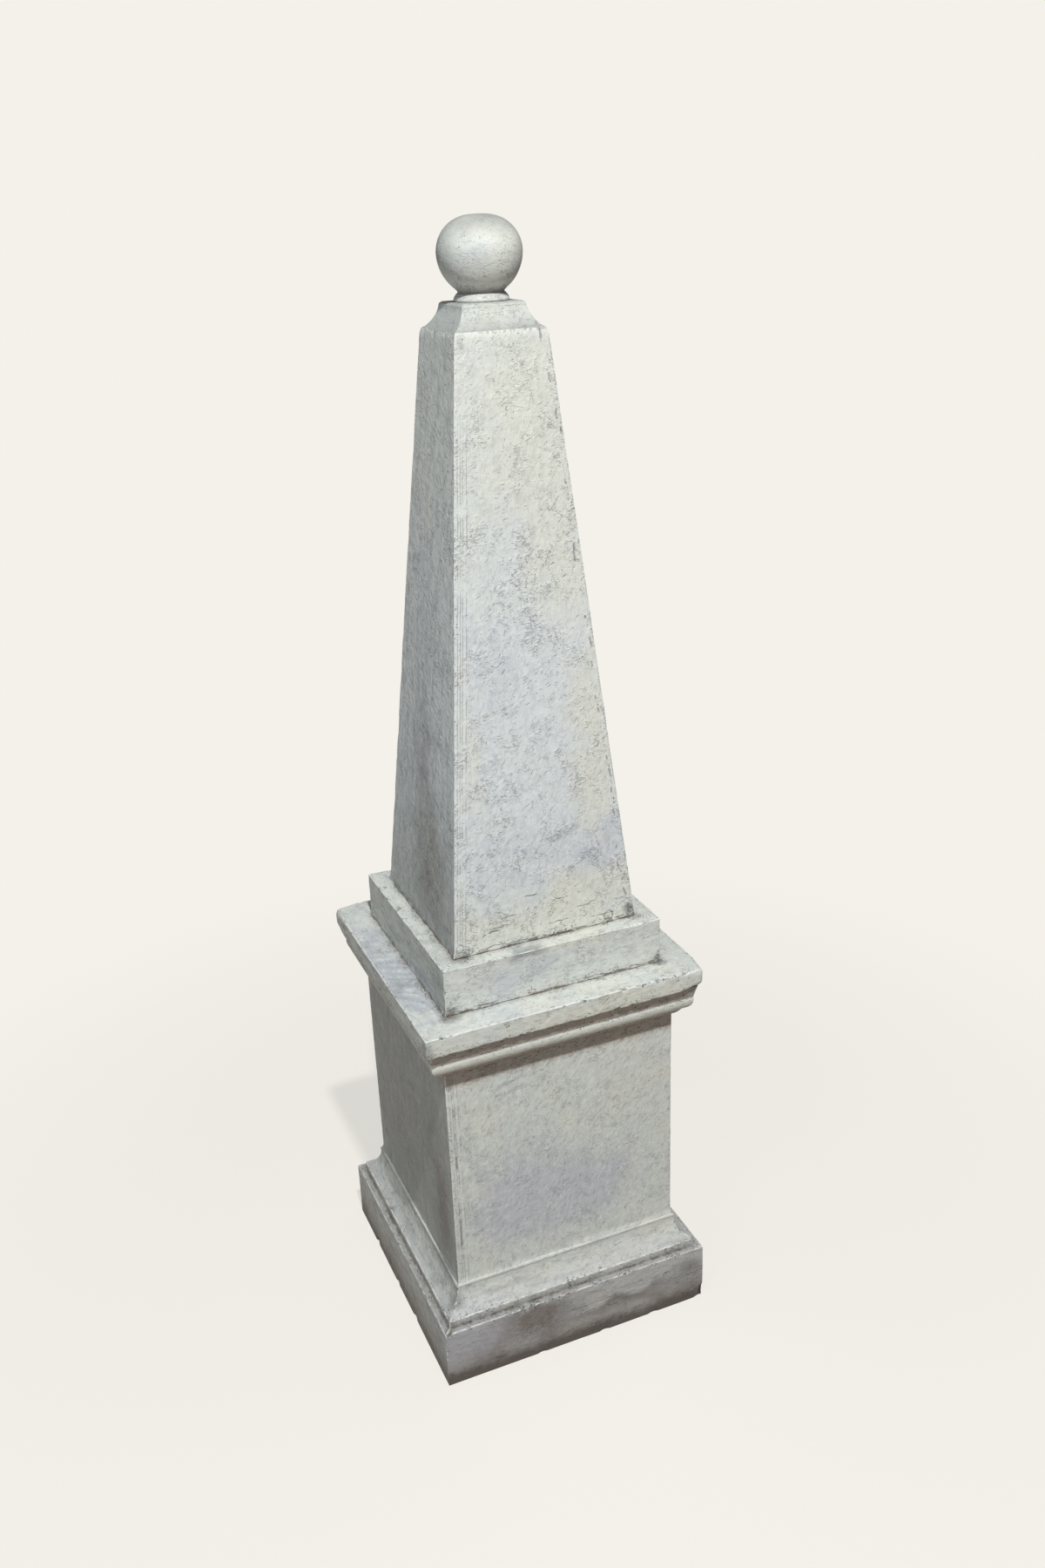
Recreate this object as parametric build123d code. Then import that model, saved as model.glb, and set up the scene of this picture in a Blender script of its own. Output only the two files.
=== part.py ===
from build123d import *
import os
from math import atan2, cos, radians, sin, sqrt

# A garden obelisk on a pedestal, made by a joiner: boards boxed round square
# hollows, mitred mouldings planted on the pedestal, and a turned ball on top.
#
# Millimetres, +Z up. The origin is on the floor in the middle of the footprint.
# The front faces -Y and the left side -X. Every board and moulding touches its
# neighbours face to face, as glued joints do.

# Plinth: four boards on edge, and a deck let in flush between their tops.
plinth_width = 410.0
plinth_height = 92.0
plinth_board = 18.0
deck_thickness = 18.0

# Die: the plain block of the pedestal, four boards standing on the plinth.
die_width = 338.0
die_height = 445.0
die_board = 18.0

# Base moulding round the foot of the die: square foot, cove and bead.
base_height = 49.5
base_reach = 26.0
base_foot = 10.0
base_batter = 1.0
base_cove = 38.0
base_bead = 4.0
base_bead_under = 37.0

# Bed moulding under the cap, from below: lower round, quirk, ovolo and a fascia
# that leans out to the cap.
bed_lower_out = 11.0
bed_lower_high = 13.0
bed_lower_round = 22.0
bed_quirk = 1.5
bed_ovolo_out = 9.5
bed_ovolo_high = 19.0
bed_ovolo_round = 16.0
bed_fascia_lean = 4.5
bed_fascia_high = 20.0

# Cap: one board with softened arrises.
cap_width = 404.0
cap_thickness = 30.0
cap_arris = 3.0

# Step: four boards on edge and a top let in flush between them.
step_width = 315.0
step_height = 65.0
step_board = 18.0
step_top_thickness = 18.0

# Shaft: four tapered boards standing on the step.
shaft_foot = 264.0
shaft_head = 120.0
shaft_height = 761.0
shaft_board = 18.0

# Shaft cap: a block with a cove worked on all four sides.
shaft_cap_height = 30.0
shaft_cap_head = 78.0
shaft_cap_cove = 42.0
shaft_cap_shoulder = 3.5

# Finial: a turned collar with a sloping top, and a ball with a flat crown that
# stands ball_crown above its middle.
collar_height = 9.5
collar_diameter = 68.0
collar_rim = 3.0
ball_diameter = 102.4
ball_crown = 41.0
neck_diameter = 56.8
neck_height = 2.4
neck_cove = 4.0

# Levels, from the floor up.
die_z = plinth_height
cap_z = die_z + die_height
step_z = cap_z + cap_thickness
shaft_z = step_z + step_height
shaft_cap_z = shaft_z + shaft_height
collar_z = shaft_cap_z + shaft_cap_height
ball_z = collar_z + collar_height

parts = {}


def trapezoid_bar(foot, head, height, z, length):
    """A bar along Y: foot wide at z, head wide at z + height."""
    outline = Polyline(
        (-foot / 2, z), (foot / 2, z), (head / 2, z + height), (-head / 2, z + height), close=True
    )
    return extrude(Plane.XZ * make_face(outline), amount=length / 2, both=True)


def boxed_boards(name, foot, head, height, z, board):
    """Four boards round a square hollow. Left and right run the full depth and
    front and back fit between them; a taper leans all four alike."""
    slope = atan2((foot - head) / 2, height)
    board_across = board / cos(slope)
    bar = trapezoid_bar(foot, head, height, z, 2 * foot)
    gap = trapezoid_bar(foot - 2 * board_across, head - 2 * board_across, height, z, 2 * foot)
    block = bar & Rot(Z=90) * bar
    sides = (block - gap).solids().sort_by(Axis.X)
    ends = ((block & gap) - Rot(Z=90) * gap).solids().sort_by(Axis.Y)
    parts[f"{name}_left"], parts[f"{name}_right"] = sides
    parts[f"{name}_front"], parts[f"{name}_back"] = ends


def square_board(width, thickness, z):
    """A square board lying flat with its underside at z."""
    return Pos(Z=z) * Box(width, width, thickness, align=(Align.CENTER, Align.CENTER, Align.MIN))


def mitred_length(section, reach):
    """The section run along Y on the +X side and cut to the corner at both ends.
    Its X runs out from the centre line and its Y up; reach is how far out it goes."""
    length = extrude(Plane.XZ * section, amount=reach, both=True)
    corner = Polyline((0, 0), (reach, -reach), (reach, reach), close=True)
    return (length & extrude(make_face(corner), amount=ball_z)).solid()


def mitred_moulding(name, section, reach):
    """The section planted on the four sides of the die. Its X starts at the die."""
    face = die_width / 2
    right = mitred_length(Pos(X=face) * section, face + reach)
    for turn, side in enumerate(("right", "back", "left", "front")):
        parts[f"{name}_{side}"] = Rot(Z=90 * turn) * right


def base_section():
    """Square foot with a slight batter, cove, and a bead against the die."""
    bead_z = die_z + base_height - base_bead
    under = radians(base_bead_under)
    foot = Polyline((0, die_z), (base_reach, die_z), (base_reach - base_batter, die_z + base_foot))
    cove = RadiusArc(foot @ 1, (base_bead * cos(under), bead_z - base_bead * sin(under)), base_cove)
    bead = ThreePointArc(cove @ 1, (base_bead, bead_z), (0, bead_z + base_bead))
    return make_face(foot + cove + bead + Line(bead @ 1, foot @ 0))


def bed_section():
    """Lower round, quirk, ovolo and leaning fascia, drawn from below up to the cap."""
    fascia_z = cap_z - bed_fascia_high
    ovolo_z = fascia_z - bed_ovolo_high
    ovolo_x = bed_lower_out + bed_quirk
    fascia_x = ovolo_x + bed_ovolo_out
    lower = RadiusArc((0, ovolo_z - bed_lower_high), (bed_lower_out, ovolo_z), -bed_lower_round)
    quirk = Line(lower @ 1, (ovolo_x, ovolo_z))
    ovolo = RadiusArc(quirk @ 1, (fascia_x, fascia_z), -bed_ovolo_round)
    fascia = Polyline(ovolo @ 1, (fascia_x + bed_fascia_lean, cap_z), (0, cap_z), lower @ 0)
    return make_face(lower + quirk + ovolo + fascia)


def cap_slab():
    """The cap board, both arrises softened all round."""
    slab = square_board(cap_width, cap_thickness, cap_z)
    arrises = slab.edges().group_by(Axis.Z)
    return fillet(arrises[0] + arrises[-1], cap_arris)


def shaft_cap():
    """One block with the same cove worked on all four sides up to the corners."""
    foot = (shaft_head / 2, shaft_cap_z)
    head = (shaft_cap_head / 2, collar_z)
    cove = RadiusArc(foot, head, shaft_cap_cove)
    section = make_face(cove + Polyline(head, (0, collar_z), (0, shaft_cap_z), foot))
    shoulder = section.vertices().sort_by_distance(head)[0]
    side = mitred_length(fillet(shoulder, shaft_cap_shoulder), shaft_head / 2)
    return side + [Rot(Z=90 * turn) * side for turn in (1, 2, 3)]


def turned(section):
    """A section in X and Z turned about the centre line."""
    return revolve(Plane.XZ * section, Axis.Z)


def neck_collar():
    """A low ring: a small rim, then a slope up to the neck of the ball."""
    foot = collar_diameter / 2
    neck = neck_diameter / 2
    outline = Polyline(
        (0, collar_z), (foot, collar_z), (foot, collar_z + collar_rim), (neck, ball_z), (0, ball_z), close=True
    )
    return turned(make_face(outline))


def ball():
    """A ball on a short neck, with a cove between them and a flat crown."""
    radius = ball_diameter / 2
    neck = neck_diameter / 2
    centre = ball_z + neck_height + sqrt(radius**2 - neck**2)
    disc = Pos(0, centre) * Circle(radius)
    stem = Pos(0, ball_z) * Rectangle(neck_diameter, radius, align=(Align.CENTER, Align.MIN))
    height = centre + ball_crown - ball_z
    limit = Pos(0, ball_z) * Rectangle(radius, height, align=(Align.MIN, Align.MIN))
    section = (disc + stem) & limit
    throat = section.vertices().sort_by_distance((neck, ball_z + neck_height))[0]
    return turned(fillet(throat, neck_cove))


boxed_boards("plinth", plinth_width, plinth_width, plinth_height, 0, plinth_board)
parts["plinth_deck"] = square_board(
    plinth_width - 2 * plinth_board, deck_thickness, plinth_height - deck_thickness
)
boxed_boards("die", die_width, die_width, die_height, die_z, die_board)
mitred_moulding("base_moulding", base_section(), base_reach)
bed_reach = bed_lower_out + bed_quirk + bed_ovolo_out + bed_fascia_lean
mitred_moulding("bed_moulding", bed_section(), bed_reach)
parts["cap_slab"] = cap_slab()
boxed_boards("step", step_width, step_width, step_height, step_z, step_board)
parts["step_top"] = square_board(
    step_width - 2 * step_board, step_top_thickness, shaft_z - step_top_thickness
)
boxed_boards("shaft", shaft_foot, shaft_head, shaft_height, shaft_z, shaft_board)
parts["shaft_cap"] = shaft_cap()
parts["neck_collar"] = neck_collar()
parts["ball"] = ball()

os.makedirs("parts", exist_ok=True)
for node, shape in parts.items():
    export_step(shape, f"parts/{node}.step")
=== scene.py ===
import itertools
import math

import bpy
import numpy as np
from mathutils import Matrix


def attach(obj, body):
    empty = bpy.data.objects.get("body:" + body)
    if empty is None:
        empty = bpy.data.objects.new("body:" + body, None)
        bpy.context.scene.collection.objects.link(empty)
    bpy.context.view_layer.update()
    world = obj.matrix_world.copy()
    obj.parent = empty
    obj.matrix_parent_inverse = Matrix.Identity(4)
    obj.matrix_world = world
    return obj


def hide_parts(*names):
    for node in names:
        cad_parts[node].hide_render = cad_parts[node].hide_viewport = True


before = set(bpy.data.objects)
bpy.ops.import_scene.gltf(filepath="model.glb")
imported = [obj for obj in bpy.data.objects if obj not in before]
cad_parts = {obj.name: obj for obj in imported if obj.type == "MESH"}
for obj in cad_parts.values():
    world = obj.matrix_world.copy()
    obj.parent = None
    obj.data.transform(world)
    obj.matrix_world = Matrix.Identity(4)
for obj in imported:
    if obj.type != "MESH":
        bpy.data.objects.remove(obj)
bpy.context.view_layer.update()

# A painted garden obelisk with worn arrises, brushed gesso and old cracks.
# Sizes are in millimetres until a mesh or a lamp is made. The front faces -Y.
MM = 0.001
SIDES = ("front", "right", "back", "left")

PLINTH_HALF, PLINTH_HIGH = 205.0, 92.0
DIE_HALF, DIE_TOP = 169.0, 537.0
CAP_HALF, CAP_TOP = 202.0, 567.0
STEP_HALF, STEP_TOP = 157.5, 632.0
SHAFT_FOOT, SHAFT_HEAD, SHAFT_TOP = 132.0, 60.0, 1393.0
SHAFT_CAP_HEAD, SHAFT_CAP_TOP = 39.0, 1423.0
COLLAR_TOP = 1432.5
BOARD = 18.0
SIDE_CRACK = 9.0
FILLER_HIGH = 8.0
BOARD_ARRIS, MOULDING_ARRIS, CAP_ARRIS, SHAFT_CAP_ARRIS = 1.3, 1.2, 2.6, 1.4
SHOULDER, SHOULDER_HIGH = 1.6, 9.0
BALL_RADIUS, BALL_MIDDLE, BALL_TOP = 51.2, 1477.5, 1518.5
NECK_RADIUS = 28.4

# Section corners, as distance out from the centre line and height.
ARRISES = (
    (PLINTH_HALF, PLINTH_HIGH), (194.0, 102.0), (180.0, 498.0), (191.0, 517.0), (CAP_HALF, DIE_TOP),
    (CAP_HALF, CAP_TOP), (STEP_HALF, STEP_TOP), (SHAFT_HEAD, SHAFT_TOP), (SHAFT_CAP_HEAD, SHAFT_CAP_TOP),
)
NOOKS = (
    (195.0, PLINTH_HIGH), (DIE_HALF, 485.0), (180.5, 498.0), (195.5, DIE_TOP),
    (STEP_HALF, CAP_TOP), (SHAFT_FOOT, STEP_TOP),
)

# Boards with filler swept into the nook at their foot, and the level of that nook.
FILLED = {"step": CAP_TOP, "shaft": STEP_TOP, "die": 140.5}

# The faces of a block, by axis and end.
ALL_FACES = {"0-", "0+", "1-", "1+", "2-", "2+"}

# Mouldings carry a thinner skin of gesso than the boards.
MOULDING_SKIN = 0.6

# Distances of the grid lines from an arris, where the mesh is finest.
ARRIS_LINES = np.array((0.0, 0.5, 1.1, 1.8, 2.7, 3.8, 5.2, 7.0))

# A face that another piece covers has no arris; it is taken to lie this far off.
OPEN_END = 1e4

# Marks are kept up to this distance; further off they make no difference.
FAR_OFF = 60.0


# ---------------------------------------------------------------- noise and wear

def eased(part):
    """A share from 0 to 1, made to start and end softly."""
    return part * part * (3 - 2 * part)


def lumps(points, size, seed):
    """Smooth noise from 0 to 1, its lumps about size across."""
    table = np.random.default_rng(seed).random((32, 32, 32))
    place = points / np.asarray(size, float) + 5.37 * seed
    cell = np.floor(place).astype(int)
    part = eased(place - cell)
    total = np.zeros(len(points))
    for corner in itertools.product((0, 1), repeat=3):
        weight = np.prod(np.where(corner, part, 1 - part), axis=1)
        i, j, k = ((cell + corner) % 32).T
        total += weight * table[i, j, k]
    return total


def ramp(value, low, high):
    """0 below low, 1 above high, and an easy slope between them."""
    return eased(np.clip((value - low) / (high - low), 0, 1))


def out_from_middle(points):
    return np.abs(points[:, :2]).max(axis=1)


def apart_from(points, place):
    """Distance of each point from one place."""
    return np.linalg.norm(points - place, axis=1)


def nearest(points, corners):
    """Distance of each point from the nearest of these section corners."""
    out = out_from_middle(points)
    gaps = [np.hypot(out - far, points[:, 2] - level) for far, level in corners]
    return np.min(gaps, axis=0)


CHIP_PLACES = (
    # x, y, z, size, depth
    (78, -202, 566, 6, 2.0), (101, -202, 567, 5, 1.8), (108, -202, 566, 6, 2.0), (118, -202, 567, 5, 2.0),
    (131, -202, 567, 8, 2.4), (139, -202, 564, 6, 1.8), (153, -202, 567, 6, 2.0), (171, -202, 567, 7, 2.2),
    (20, -202, 564, 5, 1.2), (-30, -202, 555, 4, 0.8), (-90, -202, 558, 5, 0.8), (160, -202, 556, 5, 0.9),
    (-84, -205, 92, 9, 3.0), (-74, -205, 92, 6, 2.4), (-50, -205, 92, 6, 2.2), (-41, -205, 92, 4, 1.8),
    (-30, -205, 92, 5, 2.0), (-18, -205, 92, 5, 1.8), (26, -205, 92, 6, 2.2), (-197, -205, 92, 7, 2.0),
    (205, -205, 12, 13, 2.6), (200, -205, 0, 12, 2.4), (-205, -60, 0, 9, 2.2), (-205, 20, 0, 8, 2.2),
    (-205, 120, 3, 9, 3.0), (40, -205, 0, 9, 1.6), (-60, -205, 0, 8, 1.4), (120, -205, 0, 10, 1.6),
    (-202, -202, 555, 5, 1.5), (-157, -157, 600, 5, 1.4),
)
CHIPPED_ARRISES = (
    (PLINTH_HALF, PLINTH_HIGH), (CAP_HALF, CAP_TOP), (CAP_HALF, DIE_TOP), (STEP_HALF, STEP_TOP),
)


def chance_chips(count, seed):
    """Small chips strewn along the level arrises of all four sides."""
    dice = np.random.default_rng(seed)
    rows = []
    for number in range(count):
        half, level = CHIPPED_ARRISES[number % len(CHIPPED_ARRISES)]
        along = dice.uniform(-half, half)
        size = dice.uniform(2.0, 5.5)
        places = ((along, -half), (half, along), (along, half), (-half, along))
        x, y = places[dice.integers(4)]
        rows.append((x, y, level, size, size * dice.uniform(0.2, 0.4)))
    return rows


CHIPS = list(CHIP_PLACES) + chance_chips(90, 5)

# Waves of the hand-laid skin: how deep, how wide, and the seed of each.
SKIN_WAVES = ((0.8, 130, 1), (0.32, 42, 2), (0.16, 16, 3), (0.16, 7, 4))
SKIN_LEAST = 0.15


def hand_finish(points):
    """How far the hand-laid gesso lies under the square line, chips included."""
    sink = np.full(len(points), SKIN_LEAST)
    for deep, wide, seed in SKIN_WAVES:
        sink += deep * lumps(points, wide, seed)
    ridge = np.abs(lumps(points, (30, 30, 12), 6) - 0.5)
    sink += 0.12 * ramp(ridge, 0.0, 0.12)
    for x, y, z, size, depth in CHIPS:
        near = apart_from(points, (x, y, z))
        sink += depth * ramp(size - near, 0, size * 0.8)
    return sink


def arris_radius(points, base):
    """Rounding of an arris: tight where it is sharp, wide where it has worn."""
    broad = 2.2 * ramp(lumps(points, 38, 11), 0.55, 0.95)
    short = 1.5 * ramp(lumps(points, 9, 12), 0.6, 1.0)
    return base + broad + short


def filler_spread(points, low):
    """How far the filler swept into the nook at a board's foot stands out from it."""
    part = np.clip(1 - (points[:, 2] - low) / FILLER_HIGH, 0, 1)
    size = 0.3 + 3.0 * lumps(points, 33, 14) ** 2 + 1.8 * lumps(points, 11, 15) ** 2
    return size * part**2


def into_arris(gaps, radius):
    """How far points lie within a rounded arris: face by face, at most and in all."""
    depth = np.maximum(radius[:, None] - gaps, 0)
    reach = np.maximum(depth.max(axis=1), 1e-9)
    length = np.maximum(np.linalg.norm(depth, axis=1), 1e-9)
    return depth, reach, length


def worn_block(points, half, low, high, radius):
    """A square block's points with its arrises rounded and its skin sunk by hand.

    half is the distance of the upright faces from the middle; low and high are
    the levels of its level faces, or None where another piece covers that end."""
    floor = -OPEN_END if low is None else low
    ceiling = OPEN_END if high is None else high
    middle = (floor + ceiling) / 2
    gaps = np.column_stack((
        half - np.abs(points[:, 0]),
        half - np.abs(points[:, 1]),
        (ceiling - floor) / 2 - np.abs(points[:, 2] - middle),
    ))
    signs = np.sign(points - (0, 0, middle))
    depth, reach, length = into_arris(gaps, radius)
    outward = signs * depth / length[:, None]
    shrink = reach - hand_finish(points) * np.minimum(reach / radius, 1)
    return points - signs * depth + outward * shrink[:, None]


# ---------------------------------------------------------------- meshes

def grid_lines(low, high, step, crowd_low=True, crowd_high=True):
    """Grid lines from low to high, crowded together at the ends that are arrises."""
    first = low + ARRIS_LINES if crowd_low else np.array([low])
    last = high - ARRIS_LINES[::-1] if crowd_high else np.array([high])
    count = max(1, round((last[0] - first[-1]) / step))
    middle = np.linspace(first[-1], last[0], count + 1)[1:-1]
    return np.concatenate((first, middle, last))


def block(lines, shown):
    """Skin of a block on three rows of grid lines, as points, squares and facets.

    shown names the faces laid out in small squares, such as "0-" or "2+"; every
    other face is one flat facet."""
    counts = [len(row) for row in lines]
    order = np.arange(np.prod(counts)).reshape(counts)
    squares, facets = [], []
    for axis, end in itertools.product(range(3), (0, 1)):
        face = np.moveaxis(order, axis, 0)[-end]
        if (axis == 1) == (end == 1):
            face = face.T
        if f"{axis}{'-+'[end]}" in shown:
            corners = (face[:-1, :-1], face[1:, :-1], face[1:, 1:], face[:-1, 1:])
            squares.append(np.stack(corners, axis=-1).reshape(-1, 4))
        else:
            rim = (face[:-1, 0], face[-1, :-1], face[:0:-1, -1], face[0, :0:-1])
            facets.append(np.concatenate(rim))
    squares = np.concatenate(squares)
    used = np.unique(np.concatenate([squares.ravel()] + facets))
    numbers = np.zeros(order.size, int)
    numbers[used] = np.arange(len(used))
    places = np.unravel_index(used, counts)
    points = np.column_stack([row[place] for row, place in zip(lines, places)])
    return points, numbers[squares], [numbers[facet] for facet in facets]


def skin_volume(points, squares):
    """Six times the volume inside the skin; below zero where it is inside out."""
    a, b, c = (points[squares[:, n]] for n in (0, 1, 2))
    return np.einsum("ij,ij->i", a, np.cross(b, c)).sum()


# What a finish reads where a piece has no such mark of its own.
NO_MARKS = {"joint": FAR_OFF, "strip": FAR_OFF, "crack": FAR_OFF, "crack_open": 0.0}


def make_piece(node, points, squares, facets, finishes, marks):
    """One piece in place of its CAD node, with its marks kept for the finish."""
    name = f"worn_{node}"
    centred = points - points.mean(axis=0)
    if skin_volume(centred, squares) < 0:
        squares = squares[:, ::-1]
        facets = [facet[::-1] for facet in facets]
    mesh = bpy.data.meshes.new(name)
    corners = np.concatenate([squares.ravel()] + list(facets)).astype(np.int32)
    sizes = np.array([4] * len(squares) + [len(facet) for facet in facets])
    starts = np.concatenate(([0], np.cumsum(sizes)[:-1])).astype(np.int32)
    mesh.vertices.add(len(points))
    mesh.vertices.foreach_set("co", (points * MM).astype(np.float32).ravel())
    mesh.loops.add(len(corners))
    mesh.loops.foreach_set("vertex_index", corners)
    mesh.polygons.add(len(sizes))
    mesh.polygons.foreach_set("loop_start", starts)
    slots = np.array([0] * len(squares) + [1] * len(facets), np.int32)
    mesh.polygons.foreach_set("material_index", slots)
    mesh.update(calc_edges=True)
    mesh.validate()
    mesh.shade_smooth()
    mesh.set_sharp_from_angle(angle=math.radians(50))
    for mark, values in {**NO_MARKS, **marks}.items():
        values = np.broadcast_to(values, len(points))
        layer = mesh.attributes.new(mark, "FLOAT", "POINT")
        layer.data.foreach_set("value", np.asarray(values, np.float32))
    for finish in finishes:
        mesh.materials.append(finish)
    piece = bpy.data.objects.new(name, mesh)
    bpy.context.scene.collection.objects.link(piece)
    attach(piece, "root")
    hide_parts(node)


def turned_to(side, points):
    """Points drawn for the front, turned to another side."""
    turn = SIDES.index(side)
    x, y, z = points.T
    plan = ((x, y), (-y, x), (-x, -y), (y, -x))[turn]
    return np.column_stack((*plan, z))


def turned_back(side, points):
    """Points of a side turned round to the front."""
    return turned_to(SIDES[-SIDES.index(side)], points)


# ---------------------------------------------------------------- stains and marks

# Drifts of each stain: x, y, z, width, height, strength.
STAINS = {
    "lilac": (
        (-20, -110, 960, 150, 200, 0.16), (-20, -120, 750, 150, 90, 0.34), (-40, -100, 1000, 40, 90, 0.3),
        (95, -125, 735, 40, 50, 0.45), (30, -85, 1210, 30, 60, 0.35), (-70, -169, 300, 70, 50, 0.5),
        (0, -169, 300, 150, 170, 0.16), (60, -169, 250, 50, 40, 0.6), (-40, -169, 225, 110, 50, 1.0),
        (-183, -110, 567, 50, 8, 1.3), (-183, -20, 567, 55, 8, 1.6), (-183, 80, 567, 50, 8, 1.2),
        (-150, -205, 60, 60, 30, 0.9), (-60, -157, 600, 90, 40, 0.5), (-90, 20, 1050, 50, 160, 0.7),
        (-100, 40, 860, 60, 90, 0.7), (-190, -205, 60, 44, 30, 1.4), (40, -182, 118, 70, 14, 0.8),
        (-26, -40, 1466, 20, 20, 0.5),
    ),
    "cream": (
        (-60, -190, 567, 40, 8, 0.5), (40, -190, 567, 40, 8, 0.6), (130, -190, 567, 40, 8, 0.5),
        (60, -202, 556, 110, 10, 0.7), (20, -70, 1300, 60, 110, 0.8), (60, -85, 1120, 50, 80, 0.7),
        (80, -105, 940, 34, 90, 0.9), (84, -115, 810, 36, 50, 0.7), (-84, -110, 900, 18, 120, 0.6),
        (-40, -132, 660, 120, 26, 0.7), (60, -130, 690, 60, 30, 0.8), (60, -140, 632, 120, 12, 0.8),
        (100, -169, 400, 60, 70, 0.3), (20, -190, 120, 160, 20, 0.7), (60, -200, 542, 140, 16, 0.6),
        (-100, 60, 900, 16, 160, 0.5), (-74, 10, 1180, 20, 120, 0.5), (46, -205, 68, 60, 12, 1.0),
        (-14, -30, 1502, 26, 20, 1.0), (26, -36, 1486, 16, 16, 0.7),
    ),
    "soot": (
        (-183, -60, 567, 34, 8, 0.6), (-183, 40, 567, 40, 8, 0.6), (-54, -60, 1380, 6, 14, 0.9),
        (-110, 0, 800, 60, 120, 0.6), (-120, -60, 680, 60, 60, 0.6), (-96, 4, 850, 20, 130, 0.8),
        (-84, -30, 980, 12, 120, 0.6), (-112, -24, 715, 26, 60, 0.7), (-169, -20, 380, 150, 150, 0.5),
        (-169, 60, 230, 120, 60, 0.5), (-120, -40, 720, 60, 90, 0.7), (-205, 0, 26, 160, 26, 0.5),
        (-62, -205, 60, 34, 28, 2.2), (-40, -157, 624, 26, 8, 1.2), (-198, -198, 98, 9, 9, 1.8),
        (110, -205, 40, 60, 10, 0.5), (-176, -182, 118, 12, 16, 0.9), (-186, -174, 118, 12, 16, 0.7),
        (-120, -205, 40, 44, 20, 0.7), (188, -205, 62, 18, 14, 1.3), (60, -205, 48, 60, 8, 1.0),
        (-155, -161, 569, 12, 8, 2.4), (157, -160, 570, 10, 8, 1.5), (-126, -136, 635, 13, 7, 1.8),
        (126, -135, 641, 12, 9, 1.4), (-169, -118, 240, 32, 100, 1.7), (-200, -200, 548, 9, 14, 1.6),
        (-100, -184, 118, 40, 8, 0.7), (-190, 60, 95, 8, 110, 0.8), (-60, -205, 74, 80, 14, 0.6),
        (60, -205, 36, 90, 14, 0.6), (190, -205, 10, 50, 30, 0.9), (-169, -110, 240, 44, 90, 0.8),
        # Among the soot rows, those at the ball's right, left and top (z 1474 to 1522) darken its rim:
        # painted shade.
        (-157, -130, 600, 24, 40, 0.6), (56, -12, 1474, 20, 34, 1.6), (-50, 16, 1478, 18, 34, 1.3),
        (32, -26, 1445, 15, 10, 2.2), (-30, -20, 1438, 20, 8, 0.9), (56, -50, 1398, 8, 10, 1.0),
        (0, 0, 1522, 44, 11, 1.3),
    ),
}


def stained(points, mark):
    """How strongly a stain shows at each point: hand-placed patches and drifts."""
    drift = np.column_stack([lumps(points, 34, seed) - 0.5 for seed in (31, 32, 33)])
    total = np.zeros(len(points))
    for x, y, z, width, height, strength in STAINS[mark]:
        moved = points + min(40.0, 1.2 * width) * drift
        apart = (moved - (x, y, z)) / (width, width, height)
        total += strength * np.exp(-(apart**2).sum(axis=1))
    return total


CRACKS = (
    # side, way, where, start, end, wander; an upright crack's place is a share of the half width
    ("front", "level", 636.0, -98, -20, 3.0), ("front", "level", 634.5, -30, 62, 2.2),
    ("front", "level", 636.0, 84, 122, 1.5), ("front", "level", 655.0, -90, -62, 2.0),
    ("front", "level", 661.0, -84, -50, 2.0), ("front", "level", 648.0, 0, 34, 3.0),
    ("front", "level", 671.0, -66, -38, 1.5), ("front", "level", 682.0, 6, 36, 2.0),
    ("front", "level", 645.0, 62, 104, 2.0), ("front", "level", 694.0, -30, -6, 1.5),
    ("front", "level", 664.0, 44, 66, 1.5),
    ("front", "level", 569.0, 20, 150, 2.0), ("front", "level", 570.0, -150, -80, 3.0),
    ("left", "level", 634.0, -110, 60, 3.0), ("right", "level", 635.0, -90, 80, 3.0),
    ("back", "level", 635.0, -60, 100, 3.0), ("back", "level", 571.0, -120, 100, 3.0),
    ("front", "level", 57.0, -20, 60, 3.0), ("front", "level", 45.0, -5, 76, 3.0),
    ("front", "level", 66.0, 96, 150, 3.0), ("front", "level", 50.0, 150, 200, 4.0),
    ("front", "upright", 0.36, 545, 566, 2.5),
    ("front", "upright", -0.22, 569, 590, 1.0), ("right", "upright", 0.20, 300, 470, 2.0),
    ("back", "upright", -0.36, 760, 1100, 3.0), ("left", "upright", 0.05, 545, 565, 2.0),
)

BLOTS = (
    # x, y, z, size of the ring
    (-122, -131, 642, 5.4), (-122, -131, 642, 2.2), (-112, -132, 637, 3.0), (92, -131, 641, 6.5),
    (-40, -60, 1408, 11.0), (-152, -159, 570, 3.6), (156, -155, 569, 4.4), (-199, -199, 95, 5.0),
    (-131, 40, 640, 4.0), (132, 60, 639, 4.5), (60, 132, 638, 4.0), (-40, 169, 380, 12.0),
)

SWEEPS = (
    # middle of the arcs, middle of the patch, its reach
    ((-235, -150, 567), (-183, -50, 567), (22, 110, 20)),
    ((235, 90, 567), (183, 30, 567), (22, 110, 20)),
    ((60, 280, 567), (-40, 182, 567), (150, 22, 20)),
    ((-60, -169, 360), (-76, -169, 440), (26, 14, 20)),
)


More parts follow.
